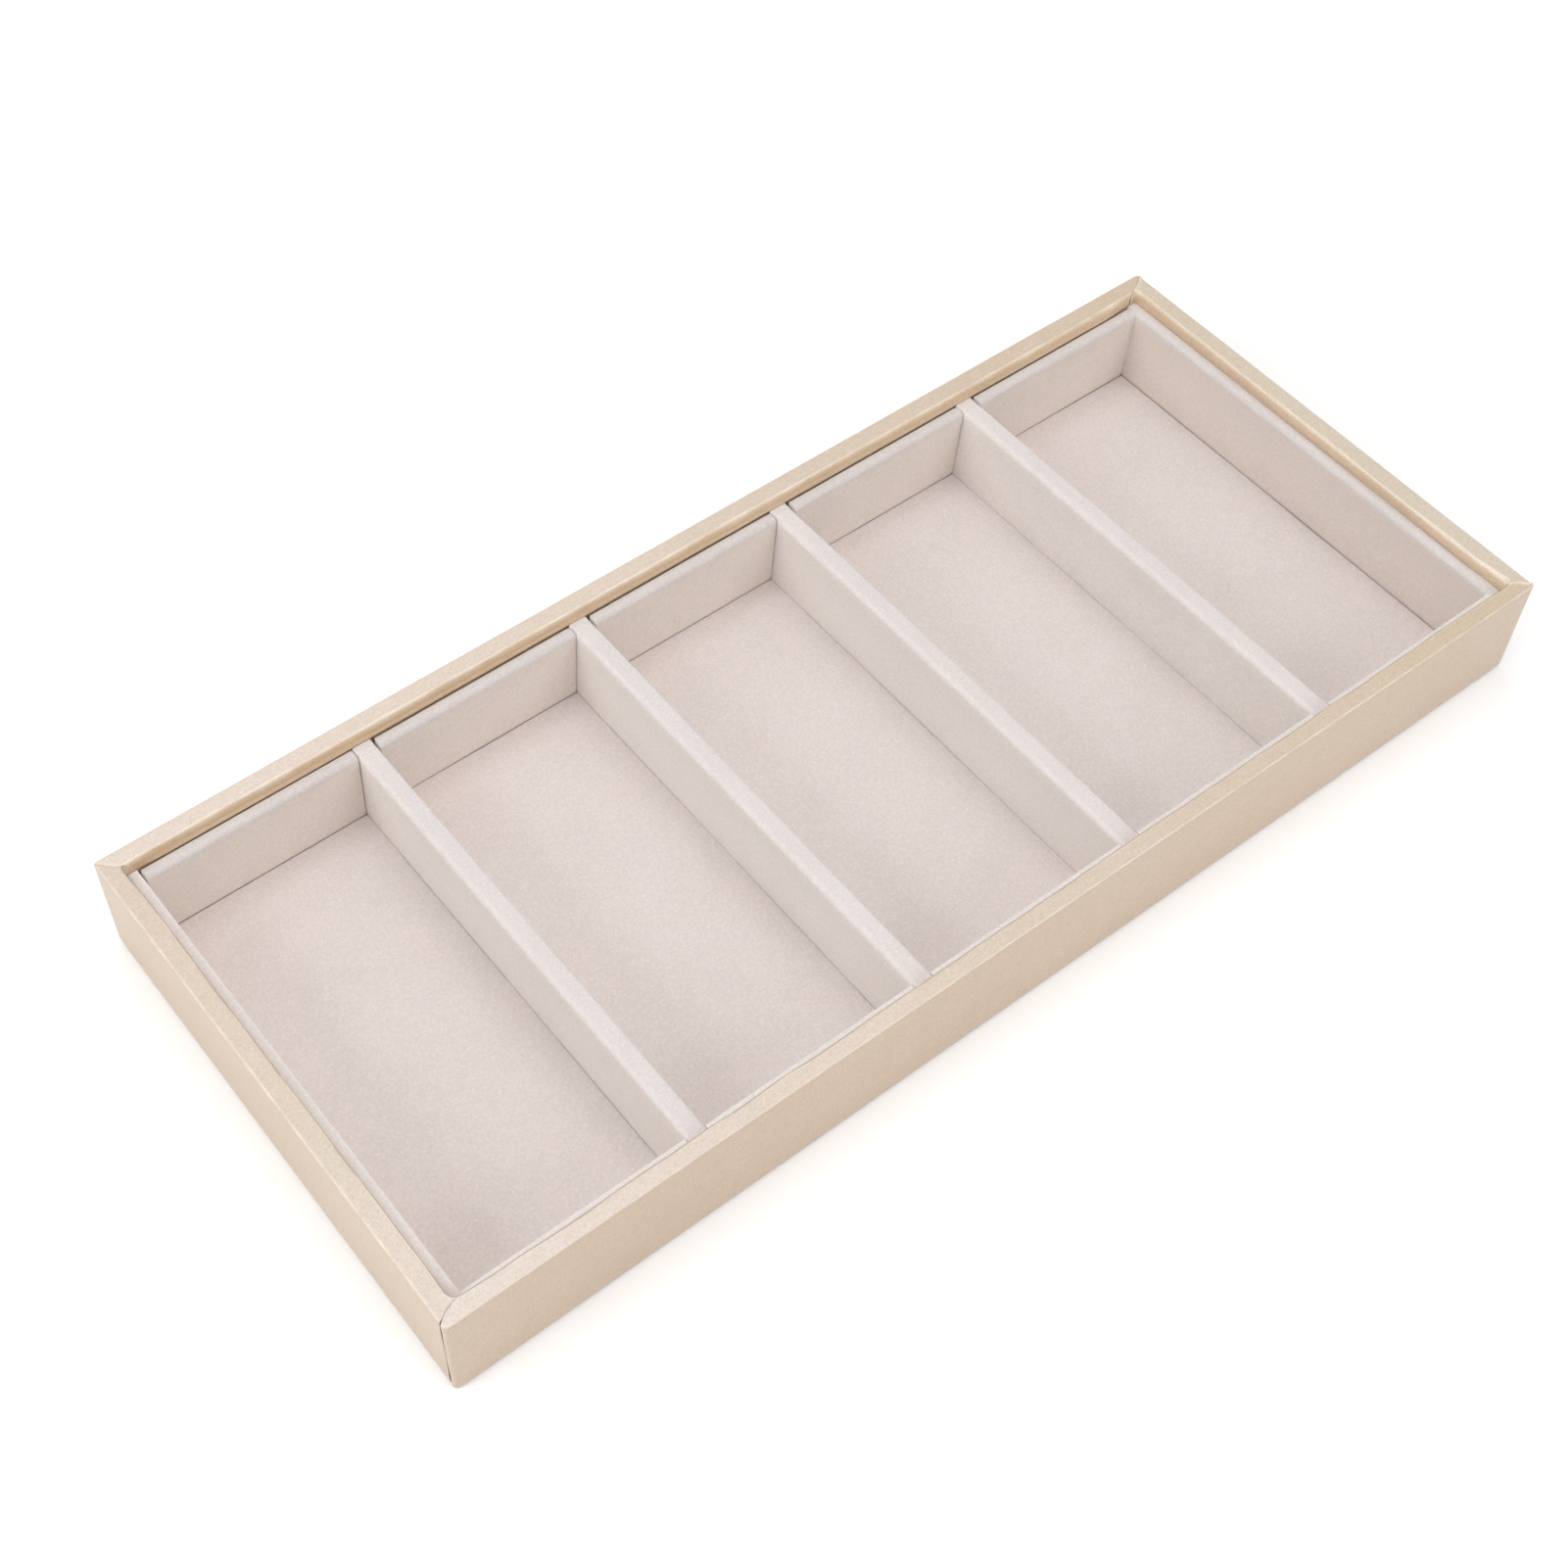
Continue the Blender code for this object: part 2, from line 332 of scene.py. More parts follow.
# Looks of the microsuede
SUEDE_COLOURS = {
    "plain": (0.71, 0.64, 0.61),
    "dark": (0.715, 0.640, 0.610, 1),
    "pale": (0.750, 0.680, 0.648, 1),
    "patches": (0.765, 0.660, 0.632, 1),
    "pale_specks": (0.86, 0.805, 0.785, 1),
    "dark_specks": (0.60, 0.525, 0.49, 1),
    # Paler colour at the rounded edges: rubbed wear and painted highlight
    "wear_and_highlight": (0.86, 0.81, 0.79, 1),
}
SUEDE_NAP = (1100, 5, 0.75)
SUEDE_PATTERNS = {
    "broad": ((34, 4, 0.6), (0.3, 0.7)),
    "patches": ((95, 3), (0.38, 0.68, 0.0, 0.5)),
    "pale_specks": (0.5, 0.68, 0.0, 0.55),
    "dark_specks": (0.32, 0.5, 0.4, 0.0),
    "wear_and_highlight": ((160, 3), (0.35, 0.7, 0.1, 0.4)),
    "gloss": (0.3, 0.7, 0.97, 0.88),
}
SUEDE_FLUFF = (380, 3)
FLUFF_SHARE = 0.8
SUEDE_RELIEF = 0.00014
SUEDE_SHEEN = {
    "Specular IOR Level": 0.15, "Sheen Weight": 0.60, "Sheen Roughness": 0.50,
    "Sheen Tint": (1.0, 0.97, 0.95, 1),
}

# Looks of the boards, each with a dark and a pale colour and the stretch of its fibres, and of the
# cloth under the tray
BOARDS = {
    "raw_fibreboard": ((0.30, 0.20, 0.12), (0.46, 0.34, 0.22), (0.25, 1, 1)),
    "raw_card": ((0.28, 0.21, 0.15), (0.42, 0.34, 0.26), (0.5, 1, 1)),
}
BOARD_FIBRES = ((700, 5, 0.7), (0.3, 0.7))
BOARD_FLECKS = ((1900, 2), (0.62, 0.75))
FLECK_SHARE = 0.5
BOARD_GLOSS = (0.0, 1.0, 0.92, 0.8)
BOARD_RELIEF = 0.00008
CLOTH_COLOURS = {
    "plain": (0.52, 0.47, 0.43),
    "dark": (0.50, 0.45, 0.41, 1),
    "pale": (0.56, 0.51, 0.47, 1),
    "threads": (0.66, 0.61, 0.57, 1),
}
CLOTH_BROAD = ((40, 4), (0.3, 0.7))
CLOTH_WEAVE = {"Scale": 400, "Distortion": 0.6, "Detail": 1.0}
THREAD_SHARE = 0.25
CLOTH_GLOSS = (0.0, 1.0, 0.92, 0.84)
CLOTH_RELIEF = 0.00006
MATT = {"Specular IOR Level": 0.2}

# Sheet on the underside: how far its edge turns up, and how far its waves stand off
UNDERSIDE_EDGE = 0.0002
UNDERSIDE_WAVE = 0.00003

# Compartments; layers of the leatherette's mesh; the angle from which an edge stays sharp; the ways
# that a fold starts and ends facing, in degrees; and a mix node's sockets for a share and two colours
COMPARTMENTS = 5
SHEET_LAYERS = ("fold", "cut")
SHARP_ANGLE = math.radians(48)
FACES_DOWN, FACES_OUT, FACES_UP, FACES_IN = 270, 180, 90, 0
MIX_SOCKETS = (0, 6, 7)

half_length = cad_high.x
half_depth = cad_high.y
rim_height = cad_high.z
REACHES = {"front": half_depth, "right": half_length, "back": half_depth, "left": half_length}
HALVES = {"front": half_length, "right": half_depth, "back": half_length, "left": half_depth}

board_low, board_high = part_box("front_wall_board")
wrap_low, wrap_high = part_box("front_wrap")
skin = board_low.y - cad_low.y
wall = board_high.y - cad_low.y + skin
turn_in = wrap_high.y - cad_low.y
foot = wrap_low.z
wrap_end = board_low.z
liner_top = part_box("left_liner_cover")[1].z


def smooth_step(value):
    """0 below 0, 1 above 1, and a smooth rise in between."""
    value = min(max(value, 0.0), 1.0)
    return value * value * (3 - 2 * value)


def between(pairs, value):
    """A value read from pairs of a place and a value, on a straight line between two of them."""
    for (low, first), (high, second) in zip(pairs, pairs[1:]):
        if value <= high:
            return first + (second - first) * max(0.0, value - low) / (high - low)
    return pairs[-1][1]


def make_camera():
    """The photo's camera, with the small shift that its framing needs."""
    data = bpy.data.cameras.new("photo_camera")
    data.sensor_width = SENSOR_WIDTH
    data.lens = FOCAL_PIXELS / PHOTO_SIDE * data.sensor_width
    data.shift_x = (PHOTO_SIDE / 2 - CENTRE_PIXEL[0]) / PHOTO_SIDE
    data.shift_y = (CENTRE_PIXEL[1] - PHOTO_SIDE / 2) / PHOTO_SIDE
    data.clip_start, data.clip_end = CAMERA_CLIP
    camera = bpy.data.objects.new("photo_camera", data)
    back = -CAMERA_LOOK.normalized()
    right = (CAMERA_RIGHT - back * CAMERA_RIGHT.dot(back)).normalized()
    axes = Matrix((right, back.cross(right), back)).transposed()
    camera.matrix_world = Matrix.Translation(CAMERA_PLACE) @ axes.to_4x4()
    bpy.context.scene.collection.objects.link(camera)
    bpy.context.scene.camera = camera


def make_lamps():
    """Square soft lamps that face the tray."""
    for name, (place, size, power) in LAMPS.items():
        data = bpy.data.lights.new(name, "AREA")
        data.size = size
        data.energy = power
        lamp = bpy.data.objects.new(name, data)
        lamp.location = place
        lamp.rotation_euler = (LAMP_AIM - Vector(place)).to_track_quat("-Z", "Y").to_euler()
        bpy.context.scene.collection.objects.link(lamp)


class Graph:
    """A node tree with short calls to add nodes and to join them."""

    def __init__(self, tree):
        self.tree = tree
        tree.nodes.clear()

    def add(self, kind, inputs=None, **settings):
        """A node of this kind. An input is a value, or another node's output that is linked to it."""
        made = self.tree.nodes.new(kind)
        for key, value in settings.items():
            setattr(made, key, value)
        for key, value in (inputs or {}).items():
            if isinstance(value, bpy.types.NodeSocket):
                self.tree.links.new(value, made.inputs[key])
            else:
                made.inputs[key].default_value = value
        return made

    def noise(self, place, scale, detail=2.0, roughness=0.5):
        """Noise around 0.5, with this many waves in a metre."""
        inputs = {"Vector": place, "Scale": scale, "Detail": detail, "Roughness": roughness}
        return self.add("ShaderNodeTexNoise", inputs).outputs["Fac"]

    def math(self, operation, first, second):
        """One sum of two values."""
        return self.add("ShaderNodeMath", {0: first, 1: second}, operation=operation).outputs[0]

    def spread(self, value, low, high, to_low=0.0, to_high=1.0):
        """A value stretched from one range to another, and held inside it."""
        inputs = {
            "Value": value, "From Min": low, "From Max": high, "To Min": to_low, "To Max": to_high,
        }
        return self.add("ShaderNodeMapRange", inputs).outputs["Result"]

    def pattern(self, place, noise_looks, ranges):
        """Noise, stretched from the part of its range that counts."""
        return self.spread(self.noise(place, *noise_looks), *ranges)

    def layer(self, name, output="Fac"):
        """What a layer of the mesh says at each point."""
        return self.add("ShaderNodeAttribute", attribute_name=name).outputs[output]

    def blend(self, share, first, second, mode="MIX"):
        """Two colours, mixed by a share."""
        made = self.add("ShaderNodeMix", data_type="RGBA", blend_type=mode)
        for socket, value in zip(MIX_SOCKETS, (share, first, second)):
            if isinstance(value, bpy.types.NodeSocket):
                self.tree.links.new(value, made.inputs[socket])
            else:
                made.inputs[socket].default_value = value
        return made.outputs[2]


def white_where_seen(graph, otherwise):
    """1 for rays from the camera, in reflections and through glass, and another value for light."""
    path = graph.add("ShaderNodeLightPath")
    seen = graph.math("MAXIMUM", path.outputs["Is Camera Ray"], path.outputs["Is Glossy Ray"])
    seen = graph.math("MAXIMUM", seen, path.outputs["Is Transmission Ray"])
    return graph.spread(seen, 0.0, 1.0, otherwise, 1.0)


def make_world():
    """Even white light, and a white background wherever it is seen."""
    world = bpy.data.worlds.new("studio")
    world.use_nodes = True
    graph = Graph(world.node_tree)
    strength = white_where_seen(graph, WORLD_LIGHT)
    colour = {"Color": (1, 1, 1, 1), "Strength": strength}
    light = graph.add("ShaderNodeBackground", colour)
    graph.add("ShaderNodeOutputWorld", {"Surface": light.outputs[0]})
    bpy.context.scene.world = world


def floor_material():
    """Pale, white where the camera sees it far from the tray, and see-through from below."""
    material = bpy.data.materials.new("pale_floor")
    material.use_nodes = True
    graph = Graph(material.node_tree)
    pale = graph.add("ShaderNodeBsdfDiffuse", {"Color": (FLOOR_GREY, FLOOR_GREY, FLOOR_GREY, 1)})
    glow = graph.add("ShaderNodeEmission", {"Strength": floor_glow(graph)})
    lit = graph.add("ShaderNodeAddShader", {0: pale.outputs[0], 1: glow.outputs[0]})
    clear = graph.add("ShaderNodeBsdfTransparent")
    facing = graph.add("ShaderNodeNewGeometry")
    both = {0: facing.outputs["Backfacing"], 1: lit.outputs[0], 2: clear.outputs[0]}
    shader = graph.add("ShaderNodeMixShader", both)
    graph.add("ShaderNodeOutputMaterial", {"Surface": shader.outputs[0]})
    return material


def floor_glow(graph):
    """The glow that brings the pale floor up to white where it is seen: small near the tray."""
    seen = white_where_seen(graph, 0.0)
    place = graph.add("ShaderNodeTexCoord").outputs["Object"]
    away = graph.add("ShaderNodeVectorMath", {0: place}, operation="LENGTH").outputs["Value"]
    glow = graph.spread(away, FAR_FROM, FAR_TO, FLOOR_WHITE, FAR_WHITE)
    return graph.math("MULTIPLY", seen, glow)


def make_floor():
    """The plain floor, which keeps the tray's shadow."""
    bm = bmesh.new()
    bmesh.ops.create_grid(bm, x_segments=2, y_segments=2, size=FLOOR_REACH)
    mesh = bpy.data.meshes.new("floor")
    bm.to_mesh(mesh)
    bm.free()
    mesh.materials.append(floor_material())
    floor = bpy.data.objects.new("floor", mesh)
    floor.location.z = -FLOOR_DROP
    bpy.context.scene.collection.objects.link(floor)


def new_material(name, colour):
    """An empty node material and its graph."""
    material = bpy.data.materials.new(name)
    material.use_nodes = True
    material.diffuse_color = (*colour, 1)
    return material, Graph(material.node_tree)


def finish_material(graph, colour, roughness, height, depth, constants):
    """Principled shader with bump; what is the same all over is set on its own sockets."""
    bump_inputs = {"Height": height, "Distance": depth, "Strength": 1.0}
    bump = graph.add("ShaderNodeBump", bump_inputs)
    inputs = {"Base Color": colour, "Roughness": roughness, "Normal": bump.outputs[0], **constants}
    shader = graph.add("ShaderNodeBsdfPrincipled", inputs)
    graph.add("ShaderNodeOutputMaterial", {"Surface": shader.outputs[0]})


def mottled(graph, place, fine, patterns, colours):
    """A colour in two broad tones, with soft patches of a third and with pale and dark specks."""
    colour = graph.blend(graph.pattern(place, *patterns["broad"]), colours["dark"], colours["pale"])
    colour = graph.blend(graph.pattern(place, *patterns["patches"]), colour, colours["patches"])
    for name in ("pale_specks", "dark_specks"):
        colour = graph.blend(graph.spread(fine, *patterns[name]), colour, colours[name])
    return colour


def wear_and_highlight_colour(graph, place, layer, colour, patterns, colours):
    """The colour turned unevenly paler where a layer of the mesh says so: wear and painted highlight.
    """
    wear_and_highlight = graph.math("MULTIPLY", graph.layer(layer), graph.pattern(place, *patterns["wear_and_highlight"]))
    return graph.blend(wear_and_highlight, colour, colours["wear_and_highlight"])


def leatherette_material():
    """Champagne leatherette, finely pebbled, pearly, a little paler on folds by wear and painted
    highlight.
    """
    looks = (LEATHER_PATTERNS, LEATHER_COLOURS)
    material, graph = new_material("pearl_leatherette", LEATHER_COLOURS["plain"])
    place = graph.add("ShaderNodeTexCoord").outputs["Object"]
    colour = mottled(graph, place, graph.noise(place, *LEATHER_SPECKS), *looks)
    # Painted light: highlight and shade on the rim, bounce light and shade on the inner side
    colour = graph.blend(1.0, colour, graph.layer("painted_light", "Color"), "MULTIPLY")
    # Paler along the folds and raised seam edges: wear and painted highlight
    colour = wear_and_highlight_colour(graph, place, "fold", colour, *looks)
    # Near-black where the layer says so: the cut edge, and painted shade in the seams and along some
    # folds
    colour = graph.blend(graph.layer("cut"), colour, LEATHER_COLOURS["cut"])

    cell_inputs = {"Vector": place, **PEBBLES}
    cells = graph.add("ShaderNodeTexVoronoi", cell_inputs, feature="SMOOTH_F1").outputs["Distance"]
    fine = graph.math("MULTIPLY", graph.noise(place, *LEATHER_GRAIN), GRAIN_SHARE)
    grain = graph.math("ADD", graph.spread(cells, *PEBBLE_SHAPE), fine)
    roughness = graph.pattern(place, *LEATHER_PATTERNS["gloss"])
    finish_material(graph, colour, roughness, grain, LEATHER_RELIEF, LEATHER_SHEEN)
    return material


def microsuede_material():
    """Pale greige microsuede: short nap, faint brushed patches, edges paler by rubbing and painted
    highlight.
    """
    looks = (SUEDE_PATTERNS, SUEDE_COLOURS)
    material, graph = new_material("greige_microsuede", SUEDE_COLOURS["plain"])
    place = graph.add("ShaderNodeTexCoord").outputs["Object"]
    nap = graph.noise(place, *SUEDE_NAP)
    # Paler at the rounded edges: rubbed wear and painted highlight
    colour = wear_and_highlight_colour(graph, place, "edge", mottled(graph, place, nap, *looks), *looks)
    # Painted light and shade on each part of the microsuede
    colour = graph.blend(1.0, colour, graph.layer("painted_shading", "Color"), "MULTIPLY")

    fluff = graph.math("MULTIPLY", graph.noise(place, *SUEDE_FLUFF), FLUFF_SHARE)
    height = graph.math("ADD", nap, fluff)
    roughness = graph.spread(nap, *SUEDE_PATTERNS["gloss"])
    finish_material(graph, colour, roughness, height, SUEDE_RELIEF, SUEDE_SHEEN)
    return material


def board_material(name):
    """Raw board: matted fibres, longer one way, in two tones with darker flecks."""
    dark, pale, stretch = BOARDS[name]
    material, graph = new_material(name, pale)
    place = graph.add("ShaderNodeTexCoord").outputs["Object"]
    along = graph.add("ShaderNodeMapping", {"Vector": place, "Scale": stretch}).outputs["Vector"]
    fibres = graph.pattern(along, *BOARD_FIBRES)
    colour = graph.blend(fibres, (*dark, 1), (*pale, 1))
    flecks = graph.math("MULTIPLY", graph.pattern(place, *BOARD_FLECKS), FLECK_SHARE)
    colour = graph.blend(flecks, colour, (*dark, 1))
    finish_material(graph, colour, graph.spread(fibres, *BOARD_GLOSS), fibres, BOARD_RELIEF, MATT)
    return material


def underside_material():
    """Matt backing cloth with a fine plain weave."""
    material, graph = new_material("backing_cloth", CLOTH_COLOURS["plain"])
    place = graph.add("ShaderNodeTexCoord").outputs["Object"]
    threads = []
    for way in ("X", "Y"):
        thread = graph.add("ShaderNodeTexWave", {"Vector": place, **CLOTH_WEAVE}, bands_direction=way)
        threads.append(thread.outputs["Fac"])
    weave = graph.math("MAXIMUM", *threads)
    broad = graph.pattern(place, *CLOTH_BROAD)
    colour = graph.blend(broad, CLOTH_COLOURS["dark"], CLOTH_COLOURS["pale"])
    raised = graph.math("MULTIPLY", weave, THREAD_SHARE)
    colour = graph.blend(raised, colour, CLOTH_COLOURS["threads"])
    finish_material(graph, colour, graph.spread(weave, *CLOTH_GLOSS), weave, CLOTH_RELIEF, MATT)
    return material


def add_piece(name, bm, material, slot, body, *nodes):
    """A finished mesh that stands for these nodes and rides on this body."""
    bmesh.ops.recalc_face_normals(bm, faces=bm.faces)
    mesh = bpy.data.meshes.new(name)
    bm.to_mesh(mesh)
    bm.free()
    mesh.shade_smooth()
    mesh.set_sharp_from_angle(angle=SHARP_ANGLE)
    mesh.materials.append(material)
    piece = bpy.data.objects.new(name, mesh)
    bpy.context.scene.collection.objects.link(piece)
    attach(piece, body)
    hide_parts(*nodes)


def arc(centre, wide, deep, start, end, rows=FOLD_ROWS):
    """Points round a fold that turns evenly, the way each faces, and how far into the fold it is."""
    for row in range(rows + 1):
        share = row / rows
        angle = math.radians(start + (end - start) * share)
        way = Vector((math.cos(angle), math.sin(angle)))
        reach = Vector((wide * way.x, deep * way.y)).length
        point = Vector((wide * wide * way.x, deep * deep * way.y)) / reach
        yield centre + point, way, math.sin(share * math.pi)


def flat(start, end, way, part):
    """Points between two folds, without the ends, and the way they face."""
    rows = FLAT_ROWS[part]
    for row in range(1, rows):
        yield start.lerp(end, row / rows), way, 0.0


def hollow_corner(corner, up):
    """Radius of the hollow at an upright corner: wide at the rim, tight behind the liners."""
    share = smooth_step((up - liner_top + HOLLOW_DROP) / (HOLLOW_RISE + HOLLOW_DROP))
    return LEAST_HOLLOW + (HOLLOW_CORNERS[corner] - LEAST_HOLLOW) * share


def bulge(side, run, up, roll_foot):
    """How far the leatherette stands in from the wall's face: from the roll down to the liners."""
    share = (run / HALVES[side] + 1) / 2
    at_roll, at_liners = (first + (last - first) * share for first, last in BULGES[side])
    swell = at_roll + (at_liners - at_roll) * smooth_step((roll_foot - up) / (roll_foot - liner_top))
    return swell * (1 - smooth_step((liner_top - up) / BULGE_FOOT))


def roll_size(side, corner, run, near):
    """How wide and deep the roll is at this run along a wall: uneven, and shared near a corner."""
    vary = noise.noise(Vector((REACHES[side], TURNS[side], run * ROLL_WAVES)))
    uneven = 1 + ROLL_VARIES * vary * (1 - near)
    pairs = zip(ROLLS[side], CORNER_ROLLS[corner])
    return (uneven * (own + (shared - own) * near) for own, shared in pairs)


def lower_section(bend):
    """Under the tray and up the outside: points as inward and up, the way each faces, and fold."""
    out, down = Vector((-1, 0)), Vector((0, -1))
    under = [
        (Vector((turn_in, foot)), down, 0.0),
        *flat(Vector((turn_in, foot)), Vector((FOOT_FOLD, foot)), down, "under"),
    ]
    outside = [
        *arc(Vector((FOOT_FOLD, foot + FOOT_FOLD)), FOOT_FOLD, FOOT_FOLD, FACES_DOWN, FACES_OUT),
        *flat(Vector((0, foot + FOOT_FOLD)), Vector((0, rim_height - bend)), out, "outside"),
        *arc(Vector((bend, rim_height - bend)), bend, bend, FACES_OUT, FACES_UP),
    ]
    return under, outside


def upper_section(bend, roll, wide, deep):
    """Over the rim and down the inside, in the same way."""
    up, inside = Vector((0, 1)), Vector((1, 0))
    top = Vector((wall, liner_top + HOLLOW_RISE))
    tight = Vector((wall, liner_top - HOLLOW_DROP))
    return [
        *flat(Vector((bend, rim_height)), Vector((roll.x, rim_height)), up, "rim"),
        *arc(roll, wide, deep, FACES_UP, FACES_IN, ROLL_ROWS),
        *flat(Vector((wall, roll.y)), top, inside, "strip"),
        (top, inside, 0.0),
        *flat(top, tight, inside, "liner_tops"),
        (tight, inside, 0.0),
        *flat(tight, Vector((wall, wrap_end)), inside, "below"),
        (Vector((wall, wrap_end)), inside, 0.0),
    ]


def wrap_section(side, corner, run, near):
    """The leatherette's outer side as inward, up: point, way it faces, fold, corner, part.

    The folds and the bulge are the wall's own, and turn into the corner's shared ones near it.
    """
    wide, deep = roll_size(side, corner, run, near)
    bend = OUTER_FOLDS[side] + (OUTER_FOLD - OUTER_FOLDS[side]) * near
    roll = Vector((wall - wide, rim_height - deep))
    under, outside = lower_section(bend)
    section = []
    for point, way, fold in under:
        section.append((point, way, fold, max(OUTER_CORNER, point.x + LEAST_CORNER), "under"))
    for point, way, fold in outside:
        section.append((point, way, fold, OUTER_CORNER, "outside"))
    for point, way, fold in upper_section(bend, roll, wide, deep):
        share = smooth_step((point.x - bend) / (roll.x - bend))
        centre = OUTER_CORNER + (wall + hollow_corner(corner, point.y) - OUTER_CORNER) * share
        swell = Vector((bulge(side, run, point.y, roll.y) * share * (1 - near), 0))
        section.append((point + swell, way, fold, centre, "over"))
    return section


def past_corner(half, inward, centre, past):
    """Along, inward and the plan's inward way, this far past the end of a wall's straight part."""
    radius = centre - inward
    turn = radius * math.pi / 2
    if past <= 0:
        return half - centre + past, inward, Vector((0, 1))
    if past < turn:
        angle = past / radius
        way = Vector((-math.sin(angle), math.cos(angle)))
        return half - centre - way.x * radius, centre - way.y * radius, way
    return half - inward, centre + past - turn, Vector((-1, 0))


def seam_offset(corner, point, part):
    """How far past the middle of a corner the front or back sheet's edge lies."""
    seam = SEAMS[corner]
    outer, inner = seam["outside"], seam["hollow"]
    seed = list(SEAMS).index(corner)
    wave = SEAM_WAVE * noise.noise(Vector((seed * SEED_STEP, point.x, point.y)) * SEAM_WAVES)
    if part == "under":
        return (outer + wave) * (1 - smooth_step(point.x / wall))
    turned = min(max(point.x, 0.0) / wall, 1.0) ** seam["late"]
    return outer + (inner - outer) * turned + wave * (1 - turned)


def seam_gap(side, end, point):
    """Width of the gap at a seam: narrow on the rim, open at both ends of an upright seam."""
    seam = SEAMS[corner_at(side, end)]
    upright = between(SEAM_WIDTHS, point.y / rim_height) * seam["wide"]
    over = smooth_step(point.x / GAP_NARROWS)
    fray = noise.noise(Vector((end * HALVES[side], REACHES[side], point.y + point.x)) * FRAY_WAVES)
    return (upright + (seam["gap"] - upright) * over) * (1 + SEAM_FRAY * fray)


def seam_darkness(side, end, point):
    """How dark the sheet's edge is at a seam: the shadow in it fades where it runs over the rim."""
    seam = SEAMS[corner_at(side, end)]
    over = smooth_step(point.x / OUTER_FOLD)
    return seam["dark"] * (1 + (seam["over"] - 1) * over)


def corner_at(side, end):
    """The corner at one end of a wall's sheet."""
    return CORNERS[side][0 if end < 0 else 1]


def seam_reach(side, end, section_row):
    """How far past its straight part the sheet runs at one end, for a row of the section."""
    point, _, _, centre, part = section_row
    middle = (centre - point.x) * math.pi / 4
    offset = seam_offset(corner_at(side, end), point, part)
    over = offset if side in LONG_SIDES else -offset
    return middle + over - seam_gap(side, end, point) / 2


def wrap_stations(side):
    """Rows across a wall's sheet from one end to the other: end, share of straight, share of end."""
    rows = round(HALVES[side] / WALL_STEP)
    one_half = [(row / rows, 0.0) for row in range(1, rows + 1)] + [(1.0, share) for share in END_ROWS]
    stations = [(-1, *pair) for pair in reversed(one_half)]
    return stations + [(1, 0.0, 0.0)] + [(1, *pair) for pair in one_half]


def wrap_point(side, end, straight, share, section_row):
    """A point of the sheet's outer side, the way it faces, and how far it is from the seam."""
    point, way, _, centre, _ = section_row
    half = HALVES[side]
    zone = END_ZONE + seam_reach(side, end, section_row)
    if share == 0:
        along, inward, plan = (half - centre - END_ZONE) * straight, point.x, Vector((0, 1))
    else:
        along, inward, plan = past_corner(half, point.x, centre, share * zone - END_ZONE)
    turned = Matrix.Rotation(TURNS[side], 3, "Z")
    place = turned @ Vector((end * along, inward - REACHES[side], point.y))
    facing = turned @ Vector((end * plan.x * way.x, plan.y * way.x, way.y))
    return place, facing, (1 - share) * zone if share else zone


def raised_edge(side, end, from_seam, section_row):
    """1 at the edge of the sheet that is raised at a seam, and 0 a little way from it."""
    point, _, _, _, part = section_row
    seam = SEAMS[corner_at(side, end)]
    if part == "under" or seam["raised"] != side:
        return 0.0
    inside = 1 - smooth_step((point.x / wall - seam["fade"]) / RAISED_FADE)
    shown = smooth_step((point.y - liner_top + HOLLOW_DROP) / HOLLOW_DROP) if part == "over" else 1
    return inside * shown * smooth_step(1 - from_seam / seam["rise"])


def wrap_lift(place, raised, section_row):
    """How far the sheet stands off its even shape: waves all over, and the raised edge of a seam."""
    _, _, fold, _, part = section_row
    lift = LEATHER_WAVE * noise.noise(place * LEATHER_WAVES) + raised
    if part == "over":
        lift += FOLD_WAVE * fold * noise.noise(place * FOLD_WAVES)
    return lift


def paint_sheet_light(side, share, facing, way):
    """Painted light on the leatherette: painted highlight and shade on the rim, painted bounce light
    and shade on the inner side, none outside.
    """
    painted_light = Vector((1, 1, 1))
    rim = smooth_step((facing.z - RIM_FACES[0]) / (RIM_FACES[1] - RIM_FACES[0]))
    for ends, amount in ((RIM_PAINTED_LIGHT[side], rim), (INNER_PAINTED_LIGHT[side], max(0.0, way.x))):
        here = Vector(ends[0]).lerp(Vector(ends[1]), share)
        painted_light = Vector(value * (1 + (other - 1) * amount) for value, other in zip(painted_light, here))
    return (*painted_light, 1)


def sheet_looks(side, run, facing, wear_and_highlight, section_row):
    """What the material needs to know at a point: how much paler by wear and painted highlight, how
    much painted shade, and its painted light.
    """
    point, way, fold, _, part = section_row
    share = (run / HALVES[side] + 1) / 2
    # Painted shade on the roll where it faces inwards; on the outer fold's upper half, each wall's own
    # painted highlight and painted shade
    turned = smooth_step((way.x - DARK_FACES[0]) / (DARK_FACES[1] - DARK_FACES[0]))
    fold_highlight_and_wear, dark = ROLL_HIGHLIGHT_AND_WEAR[side], ROLL_PAINTED_SHADE[side] * turned
    if part == "outside":
        upper = point.y > rim_height / 2
        fold_highlight_and_wear = between(tuple(enumerate(OUTER_HIGHLIGHT_AND_WEAR[side])), share) if upper else 1
        dark = OUTER_PAINTED_SHADE[side] if upper else 0
    return {
        "fold": max(fold * fold_highlight_and_wear, wear_and_highlight),
        "cut": fold * dark,
        "painted_light": paint_sheet_light(side, share, facing, way),
    }


def sheet_layers(bm):
    """Layers of the mesh that tell the material what it needs to know."""
    for name in SHEET_LAYERS:
        bm.verts.layers.float.new(name)
    bm.verts.layers.float_color.new("painted_light")
    layers = {name: bm.verts.layers.float[name] for name in SHEET_LAYERS}
    layers["painted_light"] = bm.verts.layers.float_color["painted_light"]
    return layers


